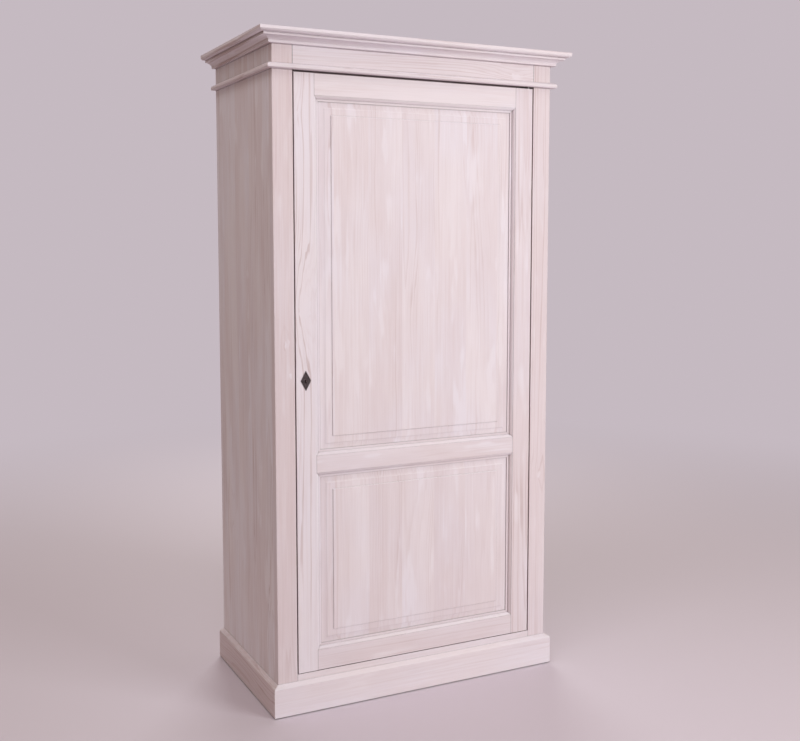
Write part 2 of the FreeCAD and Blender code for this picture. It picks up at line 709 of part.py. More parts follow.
def hinge_leaf(low, high, face, way, fit):
    """A leaf drilled for its pin and its two screws, whose heads lie in one face."""
    tools = [upright(PIVOT_PIN_DIAMETER / 2 + fit, PIVOT_X, PIVOT_Y, (low, high))]
    tools.extend(screws(leaf_screw_places(face, way), SMALL_SCREW_LENGTH, SCREW_FIT))
    return cut_all(leaf(low, high), tools)


def hinge_frame_leaf_top():
    return hinge_leaf(OPENING_TOP, OPENING_TOP + LEAF_THICK, OPENING_TOP, 1, RIVET_FIT)


def hinge_frame_leaf_bottom():
    return hinge_leaf(OPENING_BOTTOM - LEAF_THICK, OPENING_BOTTOM, OPENING_BOTTOM, -1, RIVET_FIT)


def hinge_door_leaf_top():
    return hinge_leaf(DOOR_TOP - LEAF_THICK, DOOR_TOP, DOOR_TOP, -1, RUNNING_FIT)


def hinge_door_leaf_bottom():
    return hinge_leaf(DOOR_BOTTOM, DOOR_BOTTOM + LEAF_THICK, DOOR_BOTTOM, 1, RUNNING_FIT)


def hinge_pin_top():
    """The pin riveted in the upper frame leaf, reaching down into the door."""
    return upright(PIVOT_PIN_DIAMETER / 2, PIVOT_X, PIVOT_Y,
                   (DOOR_TOP - LEAF_THICK - PIVOT_PIN_END, OPENING_TOP + LEAF_THICK))


def hinge_pin_bottom():
    """The pin riveted in the lower frame leaf, reaching up into the door."""
    return upright(PIVOT_PIN_DIAMETER / 2, PIVOT_X, PIVOT_Y,
                   (OPENING_BOTTOM - LEAF_THICK, DOOR_BOTTOM + LEAF_THICK + PIVOT_PIN_END))


def hinge_washer():
    """The thrust washer that carries the door on the lower pivot."""
    z_ends = (OPENING_BOTTOM, DOOR_BOTTOM)
    disc = upright(WASHER_DIAMETER / 2, PIVOT_X, PIVOT_Y, z_ends)
    return disc.cut(upright(PIVOT_PIN_DIAMETER / 2 + RUNNING_FIT, PIVOT_X, PIVOT_Y, z_ends))


# Lock

def lock_block(fit=0.0):
    """The room the lock takes in the door stile, open at the stile's edge and back."""
    half = LOCK_HEIGHT / 2 + fit
    return box((-DOOR_HALF, LOCK_WIDTH - DOOR_HALF + fit), (depth(LOCK_FRONT - fit), depth(DOOR_THICK)),
               (LOCK_LEVEL - half, LOCK_LEVEL + half))


def lock_cover_block(fit=0.0):
    """The lock's cover plate with a flange above and below."""
    half = LOCK_HEIGHT / 2 + LOCK_FLANGE + fit
    inner = DOOR_THICK - LOCK_WALL - fit
    return box((-DOOR_HALF, LOCK_WIDTH - DOOR_HALF + fit), (depth(inner), depth(DOOR_THICK)),
               (LOCK_LEVEL - half, LOCK_LEVEL + half))


def lock_cover():
    return cut_all(lock_cover_block(), screws(lock_screw_places(), SMALL_SCREW_LENGTH, SCREW_FIT))


def lock_room():
    """Setbacks of the lock's inside, in front of the cover."""
    return (LOCK_FRONT + LOCK_WALL, DOOR_THICK - LOCK_WALL)


def bolt_room(fit=0.0):
    """Setbacks of the bolt, which runs just behind the lock's front wall, or of a slot for it."""
    near = lock_room()[0] + BOLT_FIT
    return (near - fit, near + BOLT_THICK + fit)


def lock_case():
    """A tray open towards the cover, with a keyhole and a slot for the bolt."""
    near, far = lock_room()
    half = LOCK_HEIGHT / 2
    solid = box((-DOOR_HALF, LOCK_WIDTH - DOOR_HALF), (depth(LOCK_FRONT), depth(far)),
                (LOCK_LEVEL - half, LOCK_LEVEL + half))
    inside = half - LOCK_WALL
    tray = box((LOCK_WALL - DOOR_HALF, LOCK_WIDTH - LOCK_WALL - DOOR_HALF), (depth(near), depth(far)),
               (LOCK_LEVEL - inside, LOCK_LEVEL + inside))
    slot = bolt_slot((-DOOR_HALF, LOCK_WALL - DOOR_HALF))
    return cut_all(solid, [tray, slot, keyhole((LOCK_FRONT, LOCK_FRONT + LOCK_WALL))])


def lock_bolt():
    """The bolt drawn back flush with the door's edge, with a talon for the key."""
    near, far = bolt_room()
    solid = box((-DOOR_HALF, BOLT_LENGTH - DOOR_HALF), (depth(near), depth(far)), (BOLT_LOW, BOLT_HIGH))
    half = TALON_WIDTH / 2
    talon = box((KEYHOLE_X - half, KEYHOLE_X + half), (depth(near), depth(far)),
                (BOLT_LOW, BOLT_LOW + TALON_DEPTH))
    return solid.cut(talon)


def bolt_slot(x_ends):
    """Room for the bolt to pass between two x values."""
    near, far = bolt_room(BOLT_FIT)
    return box(x_ends, (depth(near), depth(far)), (BOLT_LOW - BOLT_FIT, BOLT_HIGH + BOLT_FIT))


def lock_spring():
    """A bowed leaf between the case's upper wall and the bolt."""
    top = LOCK_LEVEL + LOCK_HEIGHT / 2 - LOCK_WALL
    low = BOLT_HIGH + BOLT_FIT
    start = (LOCK_WIDTH - SPRING_LENGTH) / 2 - DOOR_HALF
    end = start + SPRING_LENGTH
    middle = start + SPRING_LENGTH / 2
    near, far = bolt_room()
    y = depth((near + far - SPRING_WIDTH) / 2)
    place = lambda x, z: Vec(x, y, z)
    section = profile(place, (start, top), ((middle, low + SPRING_THICK), (end, top)),
                      (end + SPRING_THICK, top), ((middle, low), (start - SPRING_THICK, top)))
    return section.extrude(Vec(0, SPRING_WIDTH, 0))


def keyhole(setbacks):
    """A round hole with a slot below it, through the given setbacks."""
    start, end = setbacks
    centre = Vec(KEYHOLE_X, depth(start), LOCK_LEVEL)
    round_part = Part.makeCylinder(KEYHOLE_DIAMETER / 2, end - start, centre, Vec(0, 1, 0))
    half = KEYHOLE_SLOT_WIDTH / 2
    slot = box((KEYHOLE_X - half, KEYHOLE_X + half), (depth(start), depth(end)),
               (LOCK_LEVEL - KEYHOLE_SLOT_DROP, LOCK_LEVEL))
    return round_part.fuse(slot)


def escutcheon():
    """A flat diamond plate on the door's face with a keyhole and two pin holes."""
    across = ESCUTCHEON_WIDTH / 2
    tall = ESCUTCHEON_HEIGHT / 2
    place = lambda x, z: Vec(KEYHOLE_X + x, depth(-ESCUTCHEON_THICK), LOCK_LEVEL + z)
    plate = profile(place, (0, -tall), (across, 0), (0, tall), (-across, 0))
    plate = plate.extrude(Vec(0, ESCUTCHEON_THICK, 0))
    tools = [keyhole((-ESCUTCHEON_THICK, 0))]
    tools.extend(escutcheon_pin(end, SCREW_FIT) for end in (-1, 1))
    return cut_all(plate, tools)


def escutcheon_pin(end, fit=0.0):
    """One pin near the diamond's lower or upper point, filed flush, or its hole."""
    level = LOCK_LEVEL + end * (ESCUTCHEON_HEIGHT / 2 - ESCUTCHEON_PIN_INSET)
    return Part.makeCylinder(ESCUTCHEON_PIN_DIAMETER / 2 + fit, ESCUTCHEON_PIN_LENGTH + fit,
                             Vec(KEYHOLE_X, depth(-ESCUTCHEON_THICK), level), Vec(0, 1, 0))


def strike_block(fit=0.0):
    """The strike plate's block, or its recess in the left stile's inner edge."""
    reach = STRIKE_MARGIN + STRIKE_LUG + fit
    near, far = bolt_room(BOLT_FIT + STRIKE_MARGIN + fit)
    return box((-OPENING_HALF - STRIKE_THICK, -OPENING_HALF), (depth(near), depth(far)),
               (BOLT_LOW - reach, BOLT_HIGH + reach))


def strike_plate():
    """A plate with a slot for the bolt and two screw holes."""
    tools = [bolt_slot((-OPENING_HALF - STRIKE_THICK, -OPENING_HALF))]
    tools.extend(screws(strike_screw_places(), SMALL_SCREW_LENGTH, SCREW_FIT))
    return cut_all(strike_block(), tools)


def bolt_mortise():
    """The hole behind the strike for the thrown bolt."""
    return bolt_slot((DOOR_SIDE_GAP - BOLT_TRAVEL - BOLT_FIT - OPENING_HALF, -OPENING_HALF))


# Glides

def front_glide(side):
    """Plan position of a glide under a front stile."""
    return (side * (HALF_WIDTH - GLIDE_FRONT_INSET), FRONT + FRAME_THICK / 2)


def back_glide(side):
    """Plan position of a glide under a side board's back end."""
    return (side * (HALF_WIDTH - SIDE_THICK / 2), BACK - GLIDE_BACK_INSET)


def glide_nail(x, y, fit=0.0):
    end = GLIDE_HEIGHT + GLIDE_NAIL_LENGTH + fit
    return upright(GLIDE_NAIL_DIAMETER / 2 + fit, x, y, (GLIDE_HEIGHT, end))


def glide(x, y):
    """A nail glide: a disc with a softened lower rim, and its nail."""
    disc = upright(GLIDE_DIAMETER / 2, x, y, (0, GLIDE_HEIGHT))
    disc = rounded(disc, GLIDE_HEIGHT / 3, lambda edge: len(edge.Vertexes) == 1 and lies_on(edge, z=0))
    return disc.fuse(glide_nail(x, y)).removeSplitter()


# The whole cupboard

def carcass_pieces():
    """Every fixed piece, by name."""
    pieces = {"frieze_rail": frieze_rail(), "bottom_rail": bottom_rail(), "top_panel": top_panel(),
              "floor_panel": floor_panel(), "back_rail": back_rail(), "door_stop": door_stop()}
    for side, word in ((LEFT, "left"), (RIGHT, "right")):
        pieces["front_stile_" + word] = front_stile(side)
        pieces["side_panel_" + word] = side_panel(side)
        for number in range(SHELF_COUNT):
            pieces["shelf_cleat_%s_%d" % (word, number + 1)] = shelf_cleat(side, number)
    for number in range(BACK_BOARD_COUNT):
        pieces["back_board_%d" % (number + 1)] = back_board(number)
    for number in range(SHELF_COUNT):
        pieces["shelf_%d" % (number + 1)] = shelf(number)
    for name, section, reach in (("plinth", plinth_section, PLINTH_THICK), ("bead", bead_section, BEAD_REACH),
                                 ("cornice", cornice_section, CORNICE_REACH)):
        pieces[name + "_front"] = front_run(section, reach)
        pieces[name + "_left"] = side_run(section, reach, LEFT)
        pieces[name + "_right"] = side_run(section, reach, RIGHT)
    return pieces


def carcass_hardware():
    """Every fixed metal piece, by name."""
    small = leaf_screw_places(OPENING_TOP, 1) + leaf_screw_places(OPENING_BOTTOM, -1) + strike_screw_places()
    cleats = [place for side in (LEFT, RIGHT) for number in range(SHELF_COUNT)
              for place in cleat_screw_places(side, number)]
    backs = [place for number in range(BACK_BOARD_COUNT) for place in back_screw_places(number)]
    glides = [glide(*front_glide(side)) for side in (LEFT, RIGHT)]
    glides.extend(glide(*back_glide(side)) for side in (LEFT, RIGHT))
    return {"hinge_frame_leaf_top": hinge_frame_leaf_top(),
            "hinge_frame_leaf_bottom": hinge_frame_leaf_bottom(),
            "hinge_pin_top": hinge_pin_top(), "hinge_pin_bottom": hinge_pin_bottom(),
            "hinge_washer": hinge_washer(), "strike_plate": strike_plate(),
            "frame_screws": Part.makeCompound(screws(small, SMALL_SCREW_LENGTH)),
            "cleat_screws": Part.makeCompound(screws(cleats, LONG_SCREW_LENGTH)),
            "back_screws": Part.makeCompound(screws(backs, LONG_SCREW_LENGTH)),
            "glides": Part.makeCompound(glides)}


def door_pieces():
    """Every piece that swings with the door, and the lock's bolt, by name."""
    small = leaf_screw_places(DOOR_TOP, -1) + leaf_screw_places(DOOR_BOTTOM, 1) + lock_screw_places()
    return {"door_stile_hinge": door_stile_hinge(), "door_stile_lock": door_stile_lock(),
            "door_rail_bottom": door_rail(0, [(LOWER_OPENING, "bottom")]),
            "door_rail_middle": door_rail(1, [(LOWER_OPENING, "top"), (UPPER_OPENING, "bottom")]),
            "door_rail_top": door_rail(2, [(UPPER_OPENING, "top")]),
            "door_panel_lower": door_panel(LOWER_OPENING), "door_panel_upper": door_panel(UPPER_OPENING),
            "hinge_door_leaf_top": hinge_door_leaf_top(), "hinge_door_leaf_bottom": hinge_door_leaf_bottom(),
            "lock_case": lock_case(), "lock_cover": lock_cover(), "lock_spring": lock_spring(),
            "lock_bolt": lock_bolt(), "escutcheon": escutcheon(),
            "escutcheon_pins": Part.makeCompound([escutcheon_pin(end) for end in (-1, 1)]),
            "door_screws": Part.makeCompound(screws(small, SMALL_SCREW_LENGTH))}


os.makedirs("parts", exist_ok=True)
for group in (carcass_pieces(), carcass_hardware(), door_pieces()):
    for name, shape in group.items():
        if not shape.isValid():
            raise ValueError("bad solid: " + name)
        shape.exportStep("parts/%s.step" % name)
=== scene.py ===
"""Looks of the limed pine bonnetiere: finish of every board and fitting, floor, light and camera."""
import json
import math
import random

import bpy
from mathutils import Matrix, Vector


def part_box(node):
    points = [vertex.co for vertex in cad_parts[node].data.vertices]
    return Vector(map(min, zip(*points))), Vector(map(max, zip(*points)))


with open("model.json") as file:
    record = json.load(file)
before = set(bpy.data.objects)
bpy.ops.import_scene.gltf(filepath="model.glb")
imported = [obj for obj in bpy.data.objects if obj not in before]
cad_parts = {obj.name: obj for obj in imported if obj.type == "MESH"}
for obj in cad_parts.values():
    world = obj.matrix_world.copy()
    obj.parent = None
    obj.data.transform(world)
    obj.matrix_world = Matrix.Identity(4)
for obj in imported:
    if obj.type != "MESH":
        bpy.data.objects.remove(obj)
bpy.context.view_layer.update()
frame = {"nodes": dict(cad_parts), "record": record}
nodes = frame["nodes"]

# Camera, in metres and radians, for a picture 800 pixels wide
PICTURE_WIDTH = 800
SENSOR_WIDTH = 36.0
FOCAL_PIXELS = 1072.5
CAMERA_PLACE = (-1.5167, -3.1467, 1.4145)
CAMERA_YAW = 0.4629
CAMERA_PITCH = -0.0915
CAMERA_SHIFT = -0.042

# Light: a large soft lamp at the front right, one overhead, a weaker one behind, and even light all round
KEY_PLACE = (2.2, -4.1, 2.0)
KEY_AIM = (0.0, -0.24, 1.05)
KEY_SIZE = 2.2
KEY_POWER = 122.0
KEY_COLOUR = (0.99, 0.99, 1.0)
TOP_PLACE = (-1.6, -1.5, 4.4)
TOP_AIM = (-0.2, 0.0, 1.2)
TOP_SIZE = 2.6
TOP_POWER = 58.5
TOP_COLOUR = (0.985, 0.945, 1.0)
BACK_PLACE = (1.6, 4.2, 3.0)
BACK_AIM = (0.0, 0.29, 1.0)
BACK_SIZE = 2.4
BACK_POWER = 90.0
BACK_COLOUR = (1.0, 1.0, 1.0)
ROUND_COLOUR = (1.0, 0.76, 0.54)
ROUND_STRENGTH = 0.27

# Floor and backdrop
BACKDROP_COLOUR = (0.56, 0.49, 0.535)
FLOOR_COLOUR = (0.68, 0.62, 0.69)
FLOOR_HALF = 14.0
FLOOR_FADE = (1.2, 5.0)
FLOOR_ROUGHNESS = 0.7

# Colours of the limed pine
COOL_LIME = (0.825, 0.78, 0.838)
WARM_LIME = (0.828, 0.768, 0.802)
EARLY_WOOD = (0.675, 0.56, 0.572)
LATE_WOOD = (0.52, 0.385, 0.375)
# warm tint of the painted shade deep in the gaps
GAP_SHADE_TINT = (0.90, 0.72, 0.70)

# Grain of the limed pine, in metres. The pith strays from strip to strip, leans, and drifts along the board
GRAIN_SEED = 11
RING_WIDTH = 0.0055
RING_UNEVENNESS = 2.2
PITH_SPREAD = 0.10
PITH_DEPTH = (0.03, 0.12)
PITH_LEAN = 0.03
SIDE_DRIFT = 0.09
SIDE_QUIVER = 0.012
DEPTH_DRIFT = 0.04
DEPTH_SHARE = 0.3
LOG_SPREAD = (37.0, 53.0, 71.0)
GRAIN_RELIEF = 0.0005
PINE_GLOSS = 0.30
KNOT_STRETCH = 2.2
KNOT_REACH = 3.0
NO_KNOT = (9.0, 9.0, 0.001)

# Patterns on the pine, in waves per metre across, through and along the board
DRIFT_WAVES = (1.5, 1.5, 1.0)
QUIVER_WAVES = (14.0, 14.0, 3.0)
RING_WAVES = (70.0, 70.0, 1.2)
KNOT_WAVES = (110.0, 110.0, 60.0)
CLEAR_WAVES = (9.0, 9.0, 1.6)
STREAK_WAVES = (150.0, 150.0, 3.4)
BRUSH_WAVES = (8.0, 8.0, 1.5)
PATCH_WAVES = (11.0, 11.0, 2.2)
DAB_WAVES = (24.0, 24.0, 4.5)
FLECK_WAVES = (120.0, 120.0, 30.0)
WARM_WAVES = (5.0, 5.0, 2.5)
FIBRE_WAVES = (900.0, 900.0, 14.0)

# Finish of each kind of board, by the start of its name: share of lime, strength of the rings and of the
# patches, and how far the pith lies from the board's middle
FINISHES = [
    ("door_panel_upper", 0.82, 0.6, 1.5, 0.0), ("door_panel_lower", 0.70, 0.5, 1.1, 0.0),
    ("door_stile_lock", 0.94, 2.4, 1.0, 0.05), ("door_stile", 0.58, 0.8, 0.9, 0.0),
    ("door_rail_top", 0.98, 0.4, 1.2, 0.0), ("door_rail", 0.74, 0.4, 1.6, 0.0),
    ("front_stile", 0.46, 0.6, 0.9, 0.0), ("side_panel", 0.80, 1.0, 2.3, 0.0),
    ("plinth_front", 0.86, 0.35, 0.8, 0.0), ("plinth", 0.30, 0.8, 1.4, 0.0),
    ("shelf_cleat", 0.60, 0.7, 1.0, 0.0),
    # the cornice and bead returns on the sides take less lime and stronger rings than their fronts: painted
    # shade on the sides
    ("cornice_front", 0.86, 0.7, 0.8, 0.0), ("cornice", 0.58, 2.2, 1.4, 0.03),
    ("bead_front", 0.82, 0.7, 0.8, 0.0), ("bead", 0.58, 2.2, 1.4, 0.03),
    ("frieze", 0.86, 0.9, 0.9, 0.0), ("bottom", 0.74, 0.7, 0.9, 0.0),
    ("", 0.36, 0.9, 1.0, 0.0),
]

# Joints of the rails with the stiles, by the start of the rail's name: distance from the rail's middle, in
# metres, and how dark the line of dirt and painted shade there is
SHOULDERS = {"frieze": (0.408, 0.68), "bottom": (0.408, 0.4), "door_rail": (0.342, 0.25)}
NO_SHOULDER = (9.0, 0.0)
SHOULDER_LINE = 0.0016

# Painted shade: how far it reaches from inner corners and into gaps, in metres, and how dark a corner gets
CORNER_REACH = 0.004
CORNER_SHADE = 0.62
GAP_REACH = 0.014

# Knots by board: across and along from its middle, and radius, in metres
KNOTS = {
    "door_stile_lock": [(-0.010, 0.215, 0.019), (-0.034, 0.767, 0.009)],
    "front_stile_left": [(0.008, 0.112, 0.008), (0.019, 0.019, 0.005)],
    "front_stile_right": [(0.004, -0.355, 0.008)],
    "frieze_rail": [(-0.020, 0.345, 0.012)],
    "side_panel_left": [(-0.04, 0.31, 0.010), (0.13, -0.46, 0.012)],
    "side_panel_right": [(0.08, 0.12, 0.011), (-0.11, -0.28, 0.009)],
}

# Glued strips of the wide boards
WHOLE_BOARD = 4.0
PANEL_STRIP = 0.112
SIDE_STRIP = 0.128
SHELF_STRIP = 0.145

# Softened edges of the boards, in metres and degrees, and how far in from them lime is caught, which also
# paints a highlight along the edges. Boards with screw holes in their faces keep sharp edges
EDGE_WIDTH = 0.0009
EDGE_ANGLE = 35.0
EDGE_LIME_AND_HIGHLIGHT = 0.0025
WELD_DISTANCE = 0.00001
SCREWED_BOARDS = ("back_board", "back_rail", "shelf_cleat", "top_panel")

# Metals of the fittings: dark and light colour, metallic share, range of roughness, and relief in metres
METALS = {
    "dark_iron": ((0.022, 0.015, 0.016), (0.12, 0.088, 0.093), 0.55, (0.42, 0.6), 0.0003),
    "lock_steel": ((0.30, 0.29, 0.28), (0.58, 0.57, 0.56), 1.0, (0.32, 0.5), 0.0001),
    "hinge_brass": ((0.36, 0.25, 0.11), (0.66, 0.50, 0.26), 1.0, (0.28, 0.45), 0.0001),
}
CLOUD_WAVES = (160.0, 160.0, 160.0)
GRIT_WAVES = (1400.0, 1400.0, 1400.0)
RUBBED_EDGE = 0.0006


def feed(tree, socket, value):
    """Links a socket to another, or sets its value."""
    if isinstance(value, bpy.types.NodeSocket):
        tree.links.new(value, socket)
    else:
        socket.default_value = value


def calc(tree, operation, *values, clamp=False):
    """One sum on numbers."""
    made = tree.nodes.new("ShaderNodeMath")
    made.operation = operation
    made.use_clamp = clamp
    for socket, value in zip(made.inputs, values):
        feed(tree, socket, value)
    return made.outputs[0]


def vector_calc(tree, operation, *values):
    """One sum on vectors."""
    made = tree.nodes.new("ShaderNodeVectorMath")
    made.operation = operation
    for socket, value in zip(made.inputs, values):
        feed(tree, socket, value)
    return made.outputs["Value" if operation in ("LENGTH", "DOT_PRODUCT") else "Vector"]


def split(tree, vector):
    """The three numbers of a vector."""
    made = tree.nodes.new("ShaderNodeSeparateXYZ")
    feed(tree, made.inputs[0], vector)
    return made.outputs[0], made.outputs[1], made.outputs[2]


def join(tree, x, y, z):
    """A vector of three numbers."""
    made = tree.nodes.new("ShaderNodeCombineXYZ")
    for socket, value in zip(made.inputs, (x, y, z)):
        feed(tree, socket, value)
    return made.outputs[0]


def noise(tree, vector, waves, detail=2.0, roughness=0.5):
    """Noise from 0 to 1 with so many waves per metre along each axis."""
    made = tree.nodes.new("ShaderNodeTexNoise")
    feed(tree, made.inputs["Vector"], vector_calc(tree, "MULTIPLY", vector, waves))
    made.inputs["Scale"].default_value = 1.0
    made.inputs["Detail"].default_value = detail
    made.inputs["Roughness"].default_value = roughness
    return made.outputs[0]


def steps(tree, value, low, high, out_low=0.0, out_high=1.0):
    """A smooth rise from out_low to out_high as value goes from low to high."""
    made = tree.nodes.new("ShaderNodeMapRange")
    made.interpolation_type = "SMOOTHSTEP"
    for socket, number in zip(made.inputs, (value, low, high, out_low, out_high)):
        feed(tree, socket, number)
    return made.outputs[0]


def mix(tree, share, first, second):
    """A mix of two colours."""
    made = tree.nodes.new("ShaderNodeMix")
    made.data_type = "RGBA"
    feed(tree, made.inputs[0], share)
    for socket, colour in zip(made.inputs[6:8], (first, second)):
        feed(tree, socket, colour if isinstance(colour, bpy.types.NodeSocket) else (*colour, 1.0))
    return made.outputs[2]


def edge_share(tree, radius):
    """1 on sharp outer and inner edges within radius, 0 on open faces."""
    bevel = tree.nodes.new("ShaderNodeBevel")
    bevel.samples = 4
    bevel.inputs["Radius"].default_value = radius
    normal = tree.nodes.new("ShaderNodeNewGeometry").outputs["Normal"]
    facing = vector_calc(tree, "DOT_PRODUCT", bevel.outputs[0], normal)
    return steps(tree, facing, 0.995, 0.85)


def upward_share(tree):
    """1 on faces that look up, 0 on upright and hanging ones."""
    normal = tree.nodes.new("ShaderNodeNewGeometry").outputs["Normal"]
    return steps(tree, split(tree, normal)[2], 0.25, 0.7)


def crevice_share(tree, distance):
    """How much of the view around a point is shut off within a distance."""
    shade = tree.nodes.new("ShaderNodeAmbientOcclusion")
    shade.samples = 6
    shade.inputs["Distance"].default_value = distance
    return calc(tree, "SUBTRACT", 1.0, shade.outputs["AO"])


def new_group(name, inputs, outputs):
    """An empty node group with named sockets, and its input and output nodes."""
    tree = bpy.data.node_groups.new(name, "ShaderNodeTree")
    for label, kind in inputs:
        tree.interface.new_socket(name=label, in_out="INPUT", socket_type=kind)
    for label, kind in outputs:
        tree.interface.new_socket(name=label, in_out="OUTPUT", socket_type=kind)
    return tree, tree.nodes.new("NodeGroupInput").outputs, tree.nodes.new("NodeGroupOutput").inputs


def knot_marks(tree, across, along, knot):
    """How far a point lies inside a knot, how near it is, and how far the knot pushes the rings aside."""
    knot_across, knot_along, radius = split(tree, knot)
    side = calc(tree, "SUBTRACT", across, knot_across)
    length = calc(tree, "DIVIDE", calc(tree, "SUBTRACT", along, knot_along), KNOT_STRETCH)
    share = calc(tree, "DIVIDE", vector_calc(tree, "LENGTH", join(tree, side, length, 0.0)), radius)
    ragged = noise(tree, join(tree, across, 0.0, along), KNOT_WAVES, 2.0)
    inside = calc(tree, "MULTIPLY", share, steps(tree, ragged, 0.25, 0.75, 0.6, 1.5))
    reach = calc(tree, "DIVIDE", share, KNOT_REACH)
    near = calc(tree, "EXPONENT", calc(tree, "MULTIPLY", calc(tree, "MULTIPLY", reach, reach), -1.0))
    return steps(tree, inside, 1.1, 0.5), near, calc(tree, "MULTIPLY", near, radius)


def both_knots(tree, across, along, given):
    """The marks of a board's two knots together."""
    first = knot_marks(tree, across, along, given["Knot"])
    second = knot_marks(tree, across, along, given["Second Knot"])
    return [calc(tree, "ADD", one, other) for one, other in zip(first, second)]


def late_wood(tree, place, own, chances, push, pith):
    """How dark the late wood is at a point, ring by ring, round a wandering pith."""
    local, through, along = place
    slow = calc(tree, "SUBTRACT", noise(tree, own, DRIFT_WAVES), 0.5)
    quick = calc(tree, "SUBTRACT", noise(tree, own, QUIVER_WAVES, 3.0), 0.5)
    lean = calc(tree, "MULTIPLY", calc(tree, "SUBTRACT", chances[2], 0.5), PITH_LEAN)
    stray = calc(tree, "MULTIPLY", calc(tree, "SUBTRACT", chances[0], 0.5), PITH_SPREAD)
    side = calc(tree, "SUBTRACT", local, calc(tree, "ADD", pith, stray))
    side = calc(tree, "ADD", side, calc(tree, "MULTIPLY", lean, along))
    side = calc(tree, "ADD", side, calc(tree, "MULTIPLY", slow, SIDE_DRIFT))
    side = calc(tree, "ADD", side, calc(tree, "MULTIPLY", quick, SIDE_QUIVER))
    deep = calc(tree, "MULTIPLY", through, DEPTH_SHARE)
    deep = calc(tree, "ADD", deep, steps(tree, chances[1], 0.0, 1.0, *PITH_DEPTH))
    deep = calc(tree, "ADD", deep, calc(tree, "MULTIPLY", slow, DEPTH_DRIFT))
    from_pith = vector_calc(tree, "LENGTH", join(tree, side, deep, 0.0))
    uneven = calc(tree, "MULTIPLY", noise(tree, own, RING_WAVES, 1.0), RING_UNEVENNESS)
    count = calc(tree, "DIVIDE", calc(tree, "SUBTRACT", from_pith, push), RING_WIDTH)
    count = calc(tree, "ADD", count, uneven)
    ring = calc(tree, "FRACT", count)
    band = calc(tree, "MULTIPLY", steps(tree, ring, 0.40, 0.88), steps(tree, ring, 1.0, 0.9))
    strength = tree.nodes.new("ShaderNodeTexWhiteNoise")
    strength.noise_dimensions = "2D"
    feed(tree, strength.inputs["Vector"], join(tree, calc(tree, "FLOOR", count), chances[0], 0.0))
    return calc(tree, "MULTIPLY", band, steps(tree, strength.outputs["Value"], 0.15, 1.0, 0.1, 1.0))


def lime_cover(tree, own, given, chance):
    """How much lime lies on the wood: brush streaks in places, soft patches and thick dabs."""
    streak = noise(tree, own, STREAK_WAVES, 3.0, 0.6)
    brushed = steps(tree, noise(tree, own, BRUSH_WAVES, 1.0), 0.35, 0.65, 0.2, 0.8)
    patch = calc(tree, "SUBTRACT", noise(tree, own, PATCH_WAVES, 4.0, 0.55), 0.5)
    dab = steps(tree, noise(tree, own, DAB_WAVES, 2.0), 0.58, 0.74)
    patches = calc(tree, "ADD", calc(tree, "MULTIPLY", patch, 0.75), calc(tree, "MULTIPLY", dab, 0.32))
    cover = calc(tree, "ADD", given["Lime"], calc(tree, "MULTIPLY", patches, given["Patches"]))
    cover = calc(tree, "ADD", cover, calc(tree, "MULTIPLY", calc(tree, "SUBTRACT", streak, 0.5), brushed))
    return calc(tree, "ADD", cover, calc(tree, "MULTIPLY", calc(tree, "SUBTRACT", chance, 0.5), 0.16)), streak


